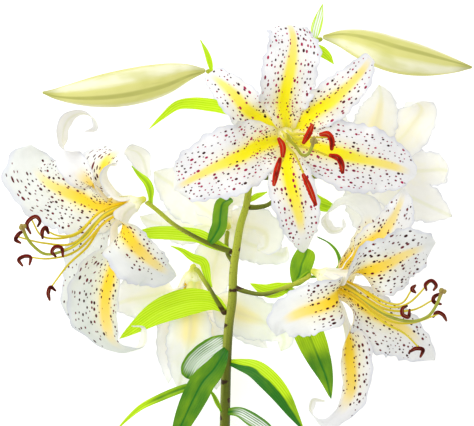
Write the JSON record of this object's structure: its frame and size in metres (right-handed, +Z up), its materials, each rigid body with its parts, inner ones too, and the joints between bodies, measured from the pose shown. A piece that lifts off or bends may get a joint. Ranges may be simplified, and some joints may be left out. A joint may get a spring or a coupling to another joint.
{
  "type": "flowering lily stem",
  "caption": "Cut leafy stem of a golden-rayed lily laid on its back, with open spotted blooms, blooms behind them and long closed buds.",
  "frame": {"origin": "on the resting surface, in the middle of the part's footprint", "axes": "+Y along the stem from its cut end to the flower head, +Z up from the surface that the stem lies on, +X to the right seen from above"},
  "size_m": [0.3991, 0.4732, 0.1592],
  "materials": {
    "stem": "smooth olive-green stem, satin",
    "leaf": "yellow-green to deep green leaf, satin",
    "bud": "pale yellow-green bud skin, satin",
    "tepal_front": "white petal with a golden band and crimson spots, soft satin",
    "tepal_rear": "white petal, soft satin",
    "anther": "dark red anthers on pale yellow-green filaments, matte",
    "pistil": "olive-green style and stigma, satin"
  },
  "bodies": {
    "root": {"bloom_back_pistil": "pistil", "bloom_back_stamens": "anther", "bloom_back_tepals": "tepal_rear", "bloom_far_pistil": "pistil", "bloom_far_stamens": "anther", "bloom_far_tepals": "tepal_rear", "bloom_left_pistil": "pistil", "bloom_left_stamens": "anther", "bloom_left_tepals": "tepal_front", "bloom_low_pistil": "pistil", "bloom_low_stamens": "anther", "bloom_low_tepals": "tepal_rear", "bloom_right_pistil": "pistil", "bloom_right_stamens": "anther", "bloom_right_tepals": "tepal_front", "bloom_top_pistil": "pistil", "bloom_top_stamens": "anther", "bloom_top_tepals": "tepal_front", "bud_left": "bud", "bud_right": "bud", "leaf_arc": "leaf", "leaf_base_01": "leaf", "leaf_base_02": "leaf", "leaf_base_03": "leaf", "leaf_bract_left": "leaf", "leaf_bract_low": "leaf", "leaf_bract_right": "leaf", "leaf_bud_left": "leaf", "leaf_bud_pale": "leaf", "leaf_bud_right": "leaf", "leaf_curled": "leaf", "leaf_dark_long": "leaf", "leaf_fan": "leaf", "leaf_glossy": "leaf", "leaf_hidden": "leaf", "leaf_left_high": "leaf", "leaf_left_low": "leaf", "leaf_left_wide": "leaf", "leaf_pedicel": "leaf", "leaf_right_long": "leaf", "leaf_right_low": "leaf", "leaf_right_mid": "leaf", "leaf_small": "leaf", "leaf_stem_01": "leaf", "leaf_upper_small": "leaf", "stem": "stem"}
  },
  "joints": []
}
